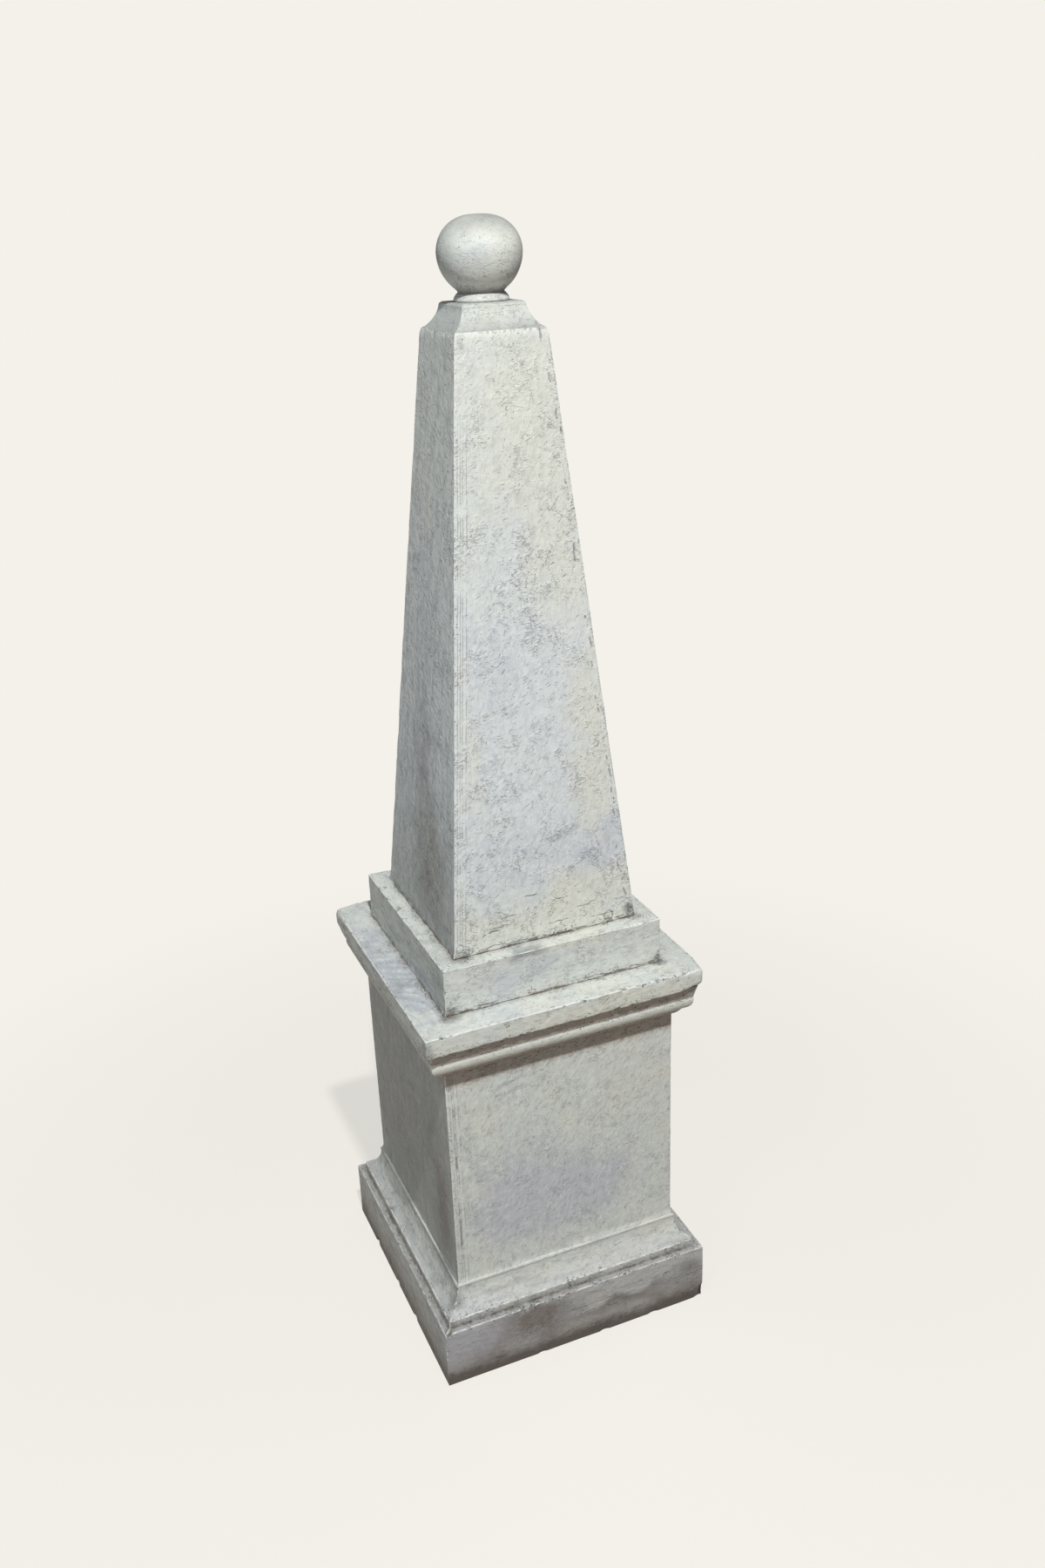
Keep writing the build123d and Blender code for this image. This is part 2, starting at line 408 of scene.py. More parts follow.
def crack_marks(points, side, half):
    """Signed distance from the nearest crack of this side, and how open it is."""
    along = turned_back(side, points)[:, 0]
    level = points[:, 2]
    nearest_gap = np.full(len(points), FAR_OFF)
    opened = np.zeros(len(points))
    for number, (crack_side, way, where, start, end, wander) in enumerate(CRACKS):
        if crack_side != side:
            continue
        if way == "level":
            gap, run = level - where, along
        else:
            gap, run = along - where * half, level
        gap = gap + 2 * wander * (lumps(points, 17, 60 + number) - 0.5)
        gap += wander * (lumps(points, 6, 90 + number) - 0.5)
        here = np.minimum(ramp(run, start, start + 5), ramp(-run, -end, -end + 5))
        closer = (np.abs(gap) < np.abs(nearest_gap)) & (here > 0)
        nearest_gap = np.where(closer, gap, nearest_gap)
        opened = np.where(closer, here, opened)
    return np.clip(nearest_gap, -FAR_OFF, FAR_OFF), opened


def skin_marks(points, upright_arris):
    """Distances and stains that the finishes read at each point."""
    plan = np.sort(np.abs(points[:, :2]), axis=1)
    arris = nearest(points, ARRISES)
    if upright_arris:
        arris = np.minimum(arris, plan[:, 1] - plan[:, 0])
    marks = {mark: stained(points, mark) for mark in STAINS}
    marks["arris"] = np.minimum(arris, FAR_OFF)
    marks["nook"] = np.minimum(nearest(points, NOOKS), FAR_OFF)
    for mark, rows in (("blot", BLOTS), ("chip", CHIPS)):
        shares = [apart_from(points, row[:3]) / row[3] for row in rows]
        marks[mark] = np.minimum(np.min(shares, axis=0), 9)
    marks["sweep"] = np.zeros(len(points))
    marks["arc"] = np.zeros(len(points))
    for middle, patch, reach in SWEEPS:
        mask = np.exp(-(((points - patch) / reach) ** 2).sum(axis=1))
        stronger = mask > marks["sweep"]
        marks["arc"] = np.where(stronger, apart_from(points, middle), marks["arc"])
        marks["sweep"] = np.maximum(mask, marks["sweep"])
    return marks


# ---------------------------------------------------------------- pieces

def boxed_boards(name, finishes, foot, head, low, high, weaves, top_shown):
    """Four boards round a hollow. Left and right run the full depth."""
    for side in SIDES:
        full = side in ("left", "right")
        reach = foot if full else foot - BOARD
        weave = weaves[side]
        lines = (
            grid_lines(-reach, reach, weave),
            grid_lines(0.0, BOARD, weave, True, False),
            grid_lines(low, high, weave, name in ("step", "shaft"), name != "die"),
        )
        shown = {"1-"} | ({"0-", "0+"} if full else set()) | ({"2+"} if top_shown else set())
        points, squares, facets = block(lines, shown)
        along, depth, level = points.T
        half = foot + (head - foot) * (level - low) / (high - low)
        scale = half / foot if full else (half - BOARD) / (foot - BOARD)
        flat = turned_to(side, np.column_stack((along * scale, depth - half, level)))
        radius = arris_radius(flat, BOARD_ARRIS)
        shaped = worn_block(flat, half, None, high if top_shown else None, radius)
        if name in FILLED:
            shaped[:, :2] *= 1 + (filler_spread(flat, FILLED[name]) / half)[:, None]
        if name == "shaft":
            near_top = np.clip(1 - (high - level) / SHOULDER_HIGH, 0, 1) ** 2
            shaped[:, :2] *= 1 - (SHOULDER * near_top / half)[:, None]
        # The front and back show the end strips of the other two boards.
        facing = np.where(flat[:, 1] < 0, 1, -1) * flat[:, 0]
        on_joint_face = half - np.abs(flat[:, 1]) < 1.0
        marks = skin_marks(flat, True)
        if name == "shaft":
            wander = 9.0 * (lumps(flat, 60, 41) - 0.5) + 5.0 * (lumps(flat, 13, 42) - 0.5)
            joint = np.where(on_joint_face, facing - (half - SIDE_CRACK) + wander, FAR_OFF)
            marks["joint"] = np.clip(joint, -FAR_OFF, FAR_OFF)
        own = turned_back(side, flat)[:, 0]
        seen = np.where(on_joint_face, facing, own)
        marks["strip"] = np.clip(half + seen, 0, FAR_OFF)
        gap, opened = crack_marks(flat, side, half)
        for face in ("front", "back") if full else ():
            face_gap, face_open = crack_marks(flat, face, half)
            here = on_joint_face & ((flat[:, 1] < 0) == (face == "front"))
            gap = np.where(here, face_gap, gap)
            opened = np.where(here, face_open, opened)
        marks["crack"], marks["crack_open"] = gap, opened
        make_piece(f"{name}_{side}", shaped, squares, facets, finishes, marks)


def straight(start, end, step):
    """Points on a straight run of a section."""
    count = max(1, round(math.dist(start, end) / step))
    start, end = np.array(start), np.array(end)
    return [start + (end - start) * n / count for n in range(count + 1)]


def bowed(start, end, radius, step):
    """An arc from start to end; a positive radius bows to the left of the way."""
    start, end = np.array(start, float), np.array(end, float)
    half = (end - start) / 2
    length = np.hypot(*half)
    side = np.array((-half[1], half[0])) / length
    rise = math.sqrt(radius**2 - length**2)
    centre = start + half - side * math.copysign(rise, radius)
    first = math.atan2(*(start - centre)[::-1])
    last = math.atan2(*(end - centre)[::-1])
    sweep = (last - first + math.pi) % (2 * math.pi) - math.pi
    count = max(2, round(abs(sweep * radius) / step))
    angles = first + sweep * np.arange(count + 1) / count
    return [centre + abs(radius) * np.array((math.cos(a), math.sin(a))) for a in angles]


def section_path(start, *runs):
    """Points along a section; each run has its end, its radius or None, and a step."""
    path = []
    for end, radius, step in runs:
        points = bowed(start, end, radius, step) if radius else straight(start, end, step)
        path.extend(points[1:] if path else points)
        start = end
    return np.array(path)


def outward_of(path):
    """Which way the skin faces at each point of a section path."""
    way = np.gradient(path, axis=0)
    outward = np.column_stack((way[:, 1], -way[:, 0]))
    return outward / np.linalg.norm(outward, axis=1)[:, None]


def mitred_moulding(name, finishes, path, weaves):
    """The section planted on the four sides of the die and mitred at the corners."""
    outward = outward_of(path)
    for side in SIDES:
        lines = (
            grid_lines(-DIE_HALF, DIE_HALF, weaves[side]),
            np.array((0.0, 1.0)),
            np.arange(len(path), dtype=float),
        )
        points, squares, facets = block(lines, {"1-"})
        number = points[:, 2].astype(int)
        front = 1 - points[:, 1]
        out = DIE_HALF + path[number, 0] * front
        flat = np.column_stack((points[:, 0] * out / DIE_HALF, -out, path[number, 1]))
        flat = turned_to(side, flat)
        sink = MOULDING_SKIN * hand_finish(flat) * front
        out = out - sink * np.clip(outward[number, 0], 0, 1)
        level = path[number, 1] - sink * outward[number, 1] * (np.abs(outward[number, 0]) > 0.05)
        along = points[:, 0] * out / DIE_HALF
        drawn = turned_to(side, np.column_stack((along, -out, level)))
        shaped = round_in_plan(drawn, out, arris_radius(flat, MOULDING_ARRIS))
        marks = skin_marks(flat, True)
        marks["joint"] = out - np.abs(along)
        make_piece(f"{name}_{side}", shaped, squares, facets, finishes, marks)


def round_in_plan(points, half, radius):
    """Upright corners rounded in plan."""
    depth, reach, length = into_arris(half[:, None] - np.abs(points[:, :2]), radius)
    shaped = points.copy()
    shaped[:, :2] += np.sign(points[:, :2]) * depth * ((reach / length) - 1)[:, None]
    return shaped


def flat_board(name, finishes, half, low, high, weave, shown, radius_of):
    """A square board lying flat; a board let in between others shows only its top."""
    lines = (
        grid_lines(-half, half, weave),
        grid_lines(-half, half, weave),
        grid_lines(low, high, weave) if "2-" in shown else np.linspace(low, high, 8),
    )
    points, squares, facets = block(lines, shown)
    half_all = np.full(len(points), half if "0-" in shown else OPEN_END)
    shaped = worn_block(points, half_all, low if "2-" in shown else None, high, radius_of(points))
    marks = skin_marks(points, False)
    make_piece(name, shaped, squares, facets, finishes, marks)


def cap_radius(points):
    """The cap's left and right corners are worn round; the near one is sharp."""
    radius = arris_radius(points, CAP_ARRIS)
    for x, y, wear in ((-1, 1, 7.0), (1, -1, 7.5), (1, 1, 4.0)):
        apart = np.hypot(points[:, 0] - x * CAP_HALF, points[:, 1] - y * CAP_HALF)
        radius = radius + wear * ramp(-apart, -42, -8)
    return np.minimum(radius, 11.5)


def sharp_radius(points):
    """A board let in flush keeps its edges sharp."""
    return np.full(len(points), 0.05)


def square_turned(name, finishes, path, weave):
    """A block whose four sides all follow one section path."""
    foot = path[0, 0]
    top = len(path) - 1
    outward = outward_of(path)
    outward[0] = (1, 0)
    lines = (
        grid_lines(-foot, foot, weave),
        grid_lines(-foot, foot, weave),
        np.arange(len(path), dtype=float),
    )
    points, squares, facets = block(lines, ALL_FACES - {"2-"})
    number = points[:, 2].astype(int)
    half, level = path[number].T
    flat = np.column_stack((points[:, 0] * half / foot, points[:, 1] * half / foot, level))
    on_skin = (out_from_middle(points) > foot - 0.01) | (number == top)
    share = 1 - 0.3 * ramp(level, path[0, 1], path[0, 1] + 8)
    sink = share * hand_finish(flat) * on_skin
    out = half - sink * outward[number, 0]
    sunk = np.where(number == top, level - 0.3 * sink, level - sink * outward[number, 1])
    drawn = np.column_stack((points[:, 0] * out / foot, points[:, 1] * out / foot, sunk))
    shaped = round_in_plan(drawn, out, arris_radius(flat, SHAFT_CAP_ARRIS))
    marks = skin_marks(flat, True)
    make_piece(name, shaped, squares, facets, finishes, marks)


def lathe(name, finishes, path, segments, sink_share):
    """A section turned about the centre line, with hand-worn skin."""
    outward = outward_of(path)
    angles = np.arange(segments) * 2 * math.pi / segments
    rings = len(path)
    round_x, round_y = np.tile(np.cos(angles), rings), np.tile(np.sin(angles), rings)
    out, level = np.repeat(path[:, 0], segments), np.repeat(path[:, 1], segments)
    flat = np.column_stack((out * round_x, out * round_y, level))
    sink = sink_share * hand_finish(flat)
    out = out - sink * np.repeat(outward[:, 0], segments)
    level = level - sink * np.repeat(outward[:, 1], segments)
    level = np.maximum(level, path[0, 1])
    shaped = np.column_stack((out * round_x, out * round_y, level))
    order = np.arange(rings * segments).reshape(rings, segments)
    after = np.roll(order, -1, axis=1)
    squares = np.stack((order[:-1], after[:-1], after[1:], order[1:]), axis=-1).reshape(-1, 4)
    facets = [order[0][::-1], order[-1]]
    marks = skin_marks(flat, False)
    marks["arris"] = FAR_OFF
    marks["nook"] = np.minimum(np.abs(level - COLLAR_TOP), FAR_OFF)
    make_piece(name, shaped, squares, facets, finishes, marks)


# ---------------------------------------------------------------- finishes

def maths(operation, swapped=False):
    """A method that adds a Math node; swapped puts its own number last."""
    def method(self, *others):
        terms = (*others, self) if swapped else (self, *others)
        return self.nodes.node("ShaderNodeMath", {"operation": operation}, dict(enumerate(terms)))
    return method


class Value:
    """An output of a node; sums on it add Math nodes."""

    def __init__(self, nodes, socket):
        self.nodes = nodes
        self.socket = socket

    def other(self, output):
        """Another output of the same node."""
        return Value(self.nodes, self.socket.node.outputs[output])

    __add__, __radd__ = maths("ADD"), maths("ADD", True)
    __sub__, __rsub__ = maths("SUBTRACT"), maths("SUBTRACT", True)
    __mul__, __rmul__ = maths("MULTIPLY"), maths("MULTIPLY", True)
    __abs__ = maths("ABSOLUTE")
    greater = maths("GREATER_THAN")
    at_most, at_least = maths("MINIMUM"), maths("MAXIMUM")
    sine = maths("SINE")


class Nodes:
    """A node tree, filled one node at a time."""

    def __init__(self, tree):
        self.tree = tree
        tree.nodes.clear()

    def node(self, kind, settings=None, inputs=None, output=0):
        """Adds a node: its settings first, then its socket values or links."""
        node = self.tree.nodes.new(kind)
        for setting, value in (settings or {}).items():
            setattr(node, setting, value)
        for key, value in (inputs or {}).items():
            if isinstance(value, Value):
                self.tree.links.new(value.socket, node.inputs[key])
            else:
                node.inputs[key].default_value = value
        return Value(self, node.outputs[output]) if len(node.outputs) else node


class Finish(Nodes):
    """A material under way; its places are in millimetres."""

    def __init__(self, name):
        self.material = bpy.data.materials.new(name)
        self.material.use_nodes = True
        super().__init__(self.material.node_tree)
        place = self.node("ShaderNodeTexCoord", output="Object")
        self.place = self.scaled(place, (1000, 1000, 1000))
        self.x, self.y, self.z = self.split(self.place)

    def split(self, vector):
        first = self.node("ShaderNodeSeparateXYZ", inputs={0: vector})
        return first, first.other("Y"), first.other("Z")

    def joined(self, *numbers):
        return self.node("ShaderNodeCombineXYZ", inputs=dict(enumerate(numbers)))

    def scaled(self, vector, scale):
        return self.node("ShaderNodeVectorMath", {"operation": "MULTIPLY"}, {0: vector, 1: scale})

    def moved(self, vector, shift):
        return self.node("ShaderNodeVectorMath", {"operation": "ADD"}, {0: vector, 1: shift})

    def mark(self, name):
        """A mark kept with the mesh."""
        return self.node("ShaderNodeAttribute", {"attribute_name": name}, output="Fac")

    def noise(self, size, detail=2.0, rough=0.5, place=None, warp=0.0, shift=0.0):
        """Noise from 0 to 1 with lumps about size across."""
        place = self.moved(place or self.place, (shift, shift, shift))
        inputs = {"Vector": place, "Scale": 1 / size, "Detail": detail}
        inputs |= {"Roughness": rough, "Distortion": warp}
        return self.node("ShaderNodeTexNoise", inputs=inputs, output="Fac")

    def patches(self, size, low, high, shift, detail=2.0, rough=0.6):
        """Soft-edged patches of noise, from 0 to 1."""
        return self.slope(self.noise(size, detail, rough, shift=shift), low, high)

    def slope(self, value, low, high):
        """0 below low, 1 above high, and an easy slope between."""
        inputs = {"Value": value, "From Min": low, "From Max": high}
        return self.node("ShaderNodeMapRange", {"interpolation_type": "SMOOTHSTEP"}, inputs)

    def fall(self, value, low, high):
        """1 below low, 0 above high, and an easy slope between."""
        return 1 - self.slope(value, low, high)

    def mix(self, factor, first, second):
        """One colour over another."""
        colours = [c if isinstance(c, Value) else (*c, 1.0) for c in (first, second)]
        inputs = {0: factor, 6: colours[0], 7: colours[1]}
        return self.node("ShaderNodeMix", {"data_type": "RGBA"}, inputs, 2)

    def coated(self, ground, *coats):
        """Coats laid over a ground in turn, each given by where it lies and its colour."""
        for where, colour in coats:
            ground = self.mix(where, ground, colour)
        return ground

    def choose(self, factor, first, second):
        """One number or the other, by factor."""
        return first + factor * (second - first)

    def on_face(self, normal):
        """Flat coordinates on a face, its first one along the board, shifted face by face."""
        out_x, out_y, out_z = self.split(normal)
        level = abs(out_z).greater(0.72)
        side = self.choose(level, abs(out_x).greater(abs(out_y)), abs(self.x).greater(abs(self.y)))
        along = self.choose(side, self.x, self.y)
        across = self.choose(side, self.y, self.x)
        turned = across.greater(0.0) * 700.0 + side * 300.0
        up = self.choose(level, self.z + turned, across)
        return self.joined(along, up, 0.0)

    def strewn(self, kind, place, scale):
        """Cells of a Voronoi pattern: the distance in each, and a chance number for it."""
        inputs = {"Vector": place, "Scale": scale}
        cell = self.node("ShaderNodeTexVoronoi", {"voronoi_dimensions": kind}, inputs)
        return cell, self.node("ShaderNodeSeparateColor", inputs={0: cell.other("Color")})

    def finished(self, colour, rough, height, depth=MM):
        """The shader: a soft sheen over this colour, roughness and height of the skin."""
        normal = self.node("ShaderNodeBump", inputs={"Height": height, "Distance": depth, "Strength": 1.0})
        inputs = {"Base Color": colour, "Roughness": rough, "Normal": normal, "Specular IOR Level": 0.4}
        shader = self.node("ShaderNodeBsdfPrincipled", inputs=inputs)
        self.node("ShaderNodeOutputMaterial", inputs={"Surface": shader})
        return self.material


# The paint, the washes and stains in it, and the dirt on it. HIGHLIGHT is pale paint and also painted
# highlight; VEIL and the grime colour are dirt and also painted shade; the under-cap and foot colours are
# painted shade, partly dirt.
PAINT = (0.71, 0.745, 0.705)
CREAM = (0.77, 0.77, 0.67)
LILAC = (0.53, 0.56, 0.63)
BLUE_WASH = (0.74, 0.785, 0.805)
COOL = (0.60, 0.70, 0.74)
OLIVE = (0.50, 0.53, 0.47)
SLATE = (0.30, 0.35, 0.39)
SOOT = (0.25, 0.26, 0.25)
VEIL = (0.30, 0.31, 0.30)
HIGHLIGHT = (0.83, 0.86, 0.82)
CRACK = (0.11, 0.115, 0.11)
UMBER = (0.17, 0.135, 0.11)
MAUVE = (0.40, 0.365, 0.42)
GRIME_AND_SHADE = (0.23, 0.20, 0.165)
UNDER_CAP_SHADE_AND_DIRT = (0.33, 0.255, 0.205)
FOOT_SHADE_AND_DIRT = (0.075, 0.060, 0.050)
PALE_WOOD, RING_WOOD, GRAIN_WOOD = (0.42, 0.30, 0.19), (0.55, 0.42, 0.28), (0.26, 0.18, 0.11)

# The bead under the cap, lightened as a painted highlight, and the band of painted shade from below it up
# to the cap.
BEAD_FOOT, BEAD_TOP, BEAD_OUT = 499.0, 516.0, 182.0
SHADE_FOOT, SHADE_TOP = 458.0, 535.0


def tinted_ground(f, clouds, mottle, left):
    """The paint's own colour with its washes, patches and stains."""
    drift = f.noise(60, 2.0, 0.5, shift=33)
    lilac = f.slope(f.mark("lilac") + 0.8 * (clouds - 0.5) + 0.5 * (mottle - 0.5), 0.05, 0.85)
    cream = f.slope(f.mark("cream") + 0.8 * (f.noise(36, 3.0, 0.6, shift=19) - 0.5), 0.05, 0.8)
    soot = f.slope(f.mark("soot") + 0.5 * (clouds - 0.5) + 0.4 * (mottle - 0.5), 0.1, 1.0)
    washed = f.slope(f.z + 60 * (mottle - 0.5), 630, 760) * f.fall(f.z + 160 * (drift - 0.5), 1000, 1280)
    on_shaft = f.slope(f.z, STEP_TOP - 2, STEP_TOP + 4)
    return f.coated(
        PAINT,
        (f.slope(drift, 0.46, 0.66) * 0.4, CREAM),
        (washed * (0.45 + 0.7 * clouds).at_most(1.0), BLUE_WASH),
        (left * 0.45 * on_shaft, COOL),
        (left * 0.22 * (1 - on_shaft), OLIVE),
        (lilac * 0.68, LILAC),
        (cream * 0.7, CREAM),
        (soot * 0.68, SOOT),
    )


class Gesso(Finish):
    """Brushed gesso paint; upright strokes on tall boards, level ones elsewhere.

    scrub says how much of it was scrubbed and scratched, smeared how dark its
    smears are."""

    def __init__(self, name, upright, scrub, smeared):
        super().__init__(name)
        self.upright, self.scrub, self.smeared = upright, scrub, smeared
        self.arris, self.nook, self.soot = self.mark("arris"), self.mark("nook"), self.mark("soot")
        normal = self.node("ShaderNodeNewGeometry", output="Normal")
        out_x, out_y, out_z = self.split(normal)
        inputs = {"Vector": self.place, "Scale": 1 / 13, "Detail": 1.0}
        sway = self.node("ShaderNodeTexNoise", inputs=inputs, output="Color")
        self.swayed = self.moved(self.on_face(normal), self.scaled(sway, (9.0, 9.0, 0.0)))

        # Where it lies: on the left side, on a ledge, up the shaft or near the floor.
        self.left = self.slope(-1 * out_x, 0.5, 0.9)
        self.ledge = self.slope(out_z, 0.25, 0.95)
        self.aloft = self.slope(self.z, 720, 1300)
        self.low = self.fall(self.z, 60, 170) * (1 - 0.6 * self.left)

        # Brush strokes run along the board; on the left side they slant.
        run = 90 if upright else 0
        self.fine = self.streaks(run, 17, 1.3)
        self.slanted = self.streaks(34, 19, 2.9, 40, 3.0, 0.65)
        self.broad = self.streaks(run, 60, 9, 77)
        self.smears = self.streaks(55 if upright else 3, 15, 4.5, 23, 3.0)

        self.clouds = self.noise(32, 3.0, 0.6)
        self.mottle = self.noise(12, 4.0, 0.62, warp=0.7)
        self.wobble = self.noise(5.0, 2.0, 0.6, shift=3) - 0.5
        self.cluster = self.slope(self.noise(34, 4.0, 0.65, shift=70, warp=0.5), 0.46, 0.66)

    def drawn_out(self, angle, length, thick, shift):
        """Coordinates on the face, drawn out to length by thick at one angle."""
        inputs = {
            "Vector": self.swayed,
            "Location": (shift, shift, 0),
            "Rotation": (0, 0, math.radians(angle)),
            "Scale": (length, thick, 1),
        }
        return self.node("ShaderNodeMapping", {"vector_type": "TEXTURE"}, inputs)

    def streaks(self, angle, length, thick, shift=0.0, detail=2.0, rough=0.6):
        """Noise drawn out to length by thick at one angle."""
        return self.noise(1.0, detail, rough, self.drawn_out(angle, length, thick, shift))

    def dashes(self, angle, length, thick, share, shift):
        """Short scratches at one angle; share says how many of them there are."""
        place = self.drawn_out(angle, 2 * length, 2 * thick, shift)
        cell, chance = self.strewn("2D", place, 1.0)
        return self.fall(cell, 0.12, 0.3) * (chance + share).greater(1.0)

    def pits(self, size, share, wide, shift):
        """Small round pits, strewn by chance."""
        cell, chance = self.strewn("3D", self.moved(self.place, (shift, shift, shift)), 1 / size)
        return self.fall(cell, wide * 0.5, wide) * chance.greater(1 - share)

    def scratches(self):
        """Scratches: a few everywhere, many where the gesso was scrubbed."""
        curl = self.streaks(10, 13.0, 6.0, 51, rough=0.55)
        broken = self.slope(self.noise(5.5, 1.0, 0.5, shift=29) + 0.16 * self.cluster, 0.52, 0.62)
        total = self.fall(abs(curl - 0.5), 0.008, 0.030) * broken * (0.12 + 0.95 * self.cluster)
        crowd = 0.015 + 0.19 * self.cluster
        slanting = 0.02 + 0.24 * self.left
        for angle, length, thick, share, shift in (
            (14, 4.8, 0.6, crowd, 0), (-24, 3.8, 0.6, crowd, 130), (52, 4.0, 0.6, crowd, 270),
            (34, 8.5, 1.1, slanting, 900),
        ):
            total = total + self.dashes(angle, length, thick, share, shift)
        pressed = 0.3 + 1.2 * self.noise(8, 1.0, 0.5, shift=44)
        total = total * (1 - 0.45 * self.slope(self.z, 1280, 1390))
        total = total * self.scrub + self.pits(9.0, 0.25, 0.13, 5)
        return total.at_most(1.0) * pressed.at_most(1.0)

    def painted(self):
        """The paint from the ground up: washes, mottle, smears and brush strokes, and a painted highlight
        on the upper left side.
        """
        strokes = self.choose(self.left, self.fine, self.slanted)
        streaked = 0.08 + (0.46 - 0.20 * self.aloft) * self.left + 0.42 * self.low
        streak_colour = self.mix(self.slope(self.z, 560, 640), VEIL, SLATE)
        spots = self.patches(11, 0.55, 0.72, 27, rough=0.5) * self.patches(50, 0.40, 0.58, 48, rough=0.5)
        dark_strokes = 0.14 + (0.56 - 0.26 * self.aloft) * self.left
        return self.coated(
            tinted_ground(self, self.clouds, self.mottle, self.left),
            # Painted light: the upper left side is lightened.
            (self.left * self.aloft * 0.45, HIGHLIGHT),
            (self.slope(self.broad, 0.45, 0.66) * streaked, streak_colour),
            (self.slope(self.mottle, 0.50, 0.74) * 0.20, SOOT),
            (self.fall(self.mottle, 0.30, 0.46) * 0.46, HIGHLIGHT),
            (spots * self.smeared * 0.8, SOOT),
            (self.slope(self.smears, 0.54, 0.70) * self.smeared, SOOT),
            (self.fall(self.smears, 0.30, 0.44) * self.smeared, HIGHLIGHT),
            (self.slope(strokes, 0.51, 0.66) * dark_strokes, SOOT),
            (self.fall(strokes, 0.32, 0.46) * (0.25 + 0.22 * self.left), HIGHLIGHT),
        )

    def veiled(self, colour):
        """A darkening veil on ledges, low down and on the left side towards the foot: painted shade,
        partly old dirt.
        """
        left_stain_and_shade = self.left * self.fall(self.z, 600, 900) * (1.0 if self.upright else 0.22)
        # Painted shade, partly dirt: up-facing ledges, the paint near the floor and the lower left side
        # are darkened.
        veil = (0.14 * self.ledge + 0.34 * self.low + 0.56 * left_stain_and_shade) * (0.55 + 0.9 * self.clouds)
        uneven = self.soot + 1.4 * (self.mottle - 0.5) + 0.8 * (self.smears - 0.5)
        caked = 0.32 * self.soot * self.low + 0.5 * self.slope(uneven, 1.0, 2.2)
        return self.coated(
            colour, (veil.at_most(1.0), VEIL), (self.low * 0.26, MAUVE), (caked.at_most(0.7), UMBER)
        )

    def combed(self, colour):
        """Fine lines combed beside the left arris, and darker lines along the other arrises."""
        strip = self.mark("strip") + 1.6 * (self.noise(36, 1.0, 0.5, shift=61) - 0.5)
        band = self.fall(strip, 15, 19) * self.slope(strip, 1.0, 3.0)
        lines = 0
        for place in (5.5, 9.0, 12.0, 17.0):
            lines = lines + self.fall(abs(strip - place), 0.2, 0.75)
        lines = lines.at_most(1.0) * self.patches(22, 0.36, 0.56, 15)
        lines = lines * (1 - 0.8 * self.slope(self.z, 1180, 1330))
        browned = self.fall(abs(strip - 10), 0.6, 2.6) * self.patches(26, 0.44, 0.62, 72)
        edged = self.fall(self.arris + 3 * self.wobble, 1.2, 3.4) * self.slope(strip, 24, 34)
        edged = edged * self.slope(self.streaks(90, 40, 6, 19), 0.44, 0.56)
        colour = self.coated(
            colour,
            (band * 0.22, HIGHLIGHT),
            (browned * self.fall(self.z, 440, 560) * 0.75, GRIME_AND_SHADE),
            (edged * 0.6, GRIME_AND_SHADE),
            (lines * (0.20 + 0.14 * self.scrub), CRACK),
        )
        return colour, lines

    def dirt_shade_and_highlights(self, colour):
        """Painted shade, partly dirt, in the nooks and under the cap; a painted highlight on the bead
        there, and the arrises lightened, worn paint that is partly painted highlight.
        """
        # Painted highlight: the bead under the cap is lightened with cream where it catches the light.
        far_out = abs(self.x).at_least(abs(self.y)).greater(BEAD_OUT)
        bead_highlight = self.slope(self.z + 3 * self.wobble, BEAD_FOOT, BEAD_FOOT + 3)
        bead_highlight = bead_highlight * self.fall(self.z, BEAD_TOP, BEAD_TOP + 2) * far_out
        # Painted shade, partly dirt: the band under the cap is darkened brown, with darker blotches.
        under = self.slope(self.z + 14 * (self.mottle - 0.5), SHADE_FOOT, SHADE_FOOT + 12)
        under = under * self.fall(self.z, SHADE_TOP, SHADE_TOP + 3) * (1 - bead_highlight)
        # Painted shade, partly dirt: the nooks are darkened in a thin line and in a wide soft spread
        # around it.
        dirt = self.fall(self.nook + 4 * self.wobble, 0.4, 3.0) * self.patches(16, 0.40, 0.58, 9)
        spread = self.nook + 9 * (self.mottle - 0.5) + 6 * (self.smears - 0.5)
        spread = self.fall(spread, 0.5, 11) * (1 - under)
        blotched = self.slope(self.streaks(6, 9, 4.0, 31, 3.0), 0.56, 0.66)

        # Fewer arrises are lightened low down, and on the ridge at the foot of the die.
        dulled = 0.10 * self.fall(self.z, 130, 200)
        dulled = dulled + 0.12 * self.slope(self.z, 126, 132) * self.fall(self.z, 146, 152)
        patchy = self.slope(self.noise(12, 3.0, 0.6, shift=57) - dulled, 0.30, 0.46)
        # Lightened arrises: worn paint, partly a painted highlight.
        worn_and_lit_arris = self.fall(self.arris + 2.0 * self.wobble, 0.8, 2.6) * patchy
        worn_and_lit_arris = worn_and_lit_arris * (1 - 0.7 * self.slope(self.z, SHAFT_TOP - 7, SHAFT_TOP - 3))

        # Grime flecks gather by the nooks and the arrises.
        by_arris = 0.8 * self.fall(self.arris, 2, 11) * self.fall(self.z, SHAFT_TOP - 23, SHAFT_TOP - 1)
        near = self.fall(self.nook, 3, 16) + by_arris + 0.7 * under
        flecks = self.streaks(4, 4.2, 2.2, 66) + 0.14 * near.at_most(1.0) + 0.06 * self.soot
        flecks = self.slope(flecks, 0.69, 0.76) * self.patches(19, 0.44, 0.56, 47)
        colour = self.coated(
            colour,
            (spread * (0.10 + 0.36 * self.clouds + 0.14 * self.low), GRIME_AND_SHADE),
            (dirt * 0.78, UMBER),
            (under * (0.50 + 0.35 * self.mottle), UNDER_CAP_SHADE_AND_DIRT),
            (under * blotched * 0.6, UMBER),
            (bead_highlight * 0.35, CREAM),
            (worn_and_lit_arris * 0.75, HIGHLIGHT),
            (flecks * 0.72, CRACK),
        )
        return colour, flecks

